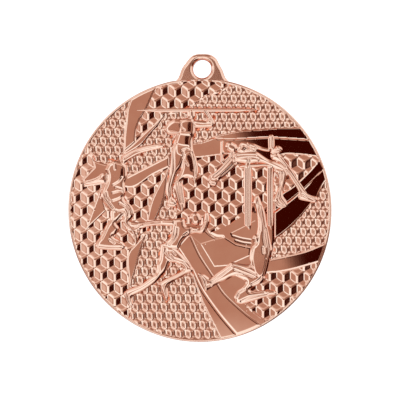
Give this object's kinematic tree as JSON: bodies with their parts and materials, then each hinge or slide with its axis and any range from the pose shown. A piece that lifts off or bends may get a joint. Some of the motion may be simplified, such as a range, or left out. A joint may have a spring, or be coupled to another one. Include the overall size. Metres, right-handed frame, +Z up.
{
  "type": "sports finisher medal",
  "caption": "Round plated medal with a hanging loop, a relief of track and field athletes over tumbling-block textures and smooth ribbons, and a plain reverse.",
  "frame": {"origin": "centre of the round eye in the hanging loop, midway through the blank's thickness", "axes": "+Z up through the medal as it hangs, -Y out of the obverse with the relief, +Y out of the plain reverse, +X to the right seen from the obverse"},
  "size_m": [0.0501, 0.0033, 0.0546],
  "materials": {
    "blank_metal": "bright copper-tone plating, polished edge",
    "textured_ground": "bright copper-tone plating over a struck block texture",
    "polished_field": "mirror-bright copper-tone plating",
    "relief_metal": "bright copper-tone plating on rounded relief"
  },
  "bodies": {
    "root": {"athlete_hurdler": "relief_metal", "athlete_jumper": "relief_metal", "athlete_leaper": "relief_metal", "athlete_sprinter": "relief_metal", "athlete_thrower": "relief_metal", "ground_coarse_centre": "textured_ground", "ground_coarse_left": "textured_ground", "ground_coarse_lower_right": "textured_ground", "ground_coarse_right": "textured_ground", "ground_coarse_top": "textured_ground", "ground_fine_bottom": "textured_ground", "ground_fine_inner": "textured_ground", "ground_fine_left": "textured_ground", "ground_fine_right": "textured_ground", "ground_fine_top": "textured_ground", "ground_fine_upper_left": "textured_ground", "hanging_loop": "blank_metal", "hurdle": "relief_metal", "javelin": "relief_metal", "medal_blank": "blank_metal", "ribbon_band": "polished_field", "ribbon_band_end": "polished_field", "ribbon_broad": "polished_field", "ribbon_diagonal": "polished_field", "ribbon_flag": "polished_field", "ribbon_middle": "polished_field", "ribbon_narrow": "polished_field", "ribbon_rising_lower": "polished_field", "ribbon_rising_upper": "polished_field", "ribbon_steep": "polished_field", "ribbon_sweep": "polished_field", "ribbon_turn": "polished_field", "ribbon_wedge": "polished_field", "track_lane_inner": "polished_field", "track_lane_middle": "polished_field", "track_lane_outer": "polished_field", "track_panel": "polished_field"}
  },
  "joints": []
}
